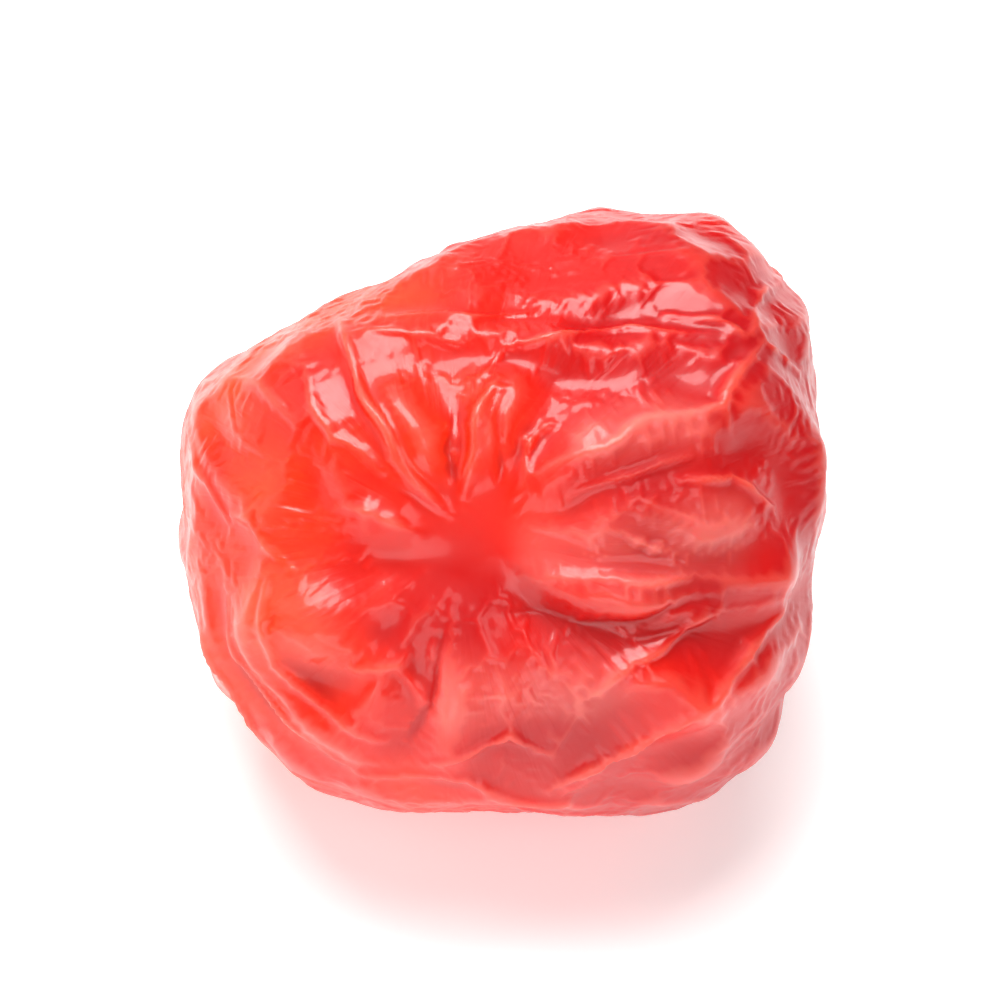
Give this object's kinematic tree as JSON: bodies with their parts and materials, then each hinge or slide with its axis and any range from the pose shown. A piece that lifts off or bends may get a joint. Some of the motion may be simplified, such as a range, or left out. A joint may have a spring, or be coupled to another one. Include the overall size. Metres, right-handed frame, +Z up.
{
  "type": "dried sour cherry",
  "caption": "Candied, dried sour cherry, pitted and crumpled: a small blocky red fruit with folds that gather at its stem dimple, lying on a flat spot.",
  "frame": {"origin": "middle of the base, on the level of the flat spot that the fruit rests on", "axes": "+Z up; the front, -Y, with the stem dimple facing front and up; +X to the right as seen from the front"},
  "size_m": [0.0188, 0.0188, 0.016],
  "materials": {
    "candied_skin": null
  },
  "bodies": {
    "root": {"cherry": "candied_skin"}
  },
  "joints": []
}
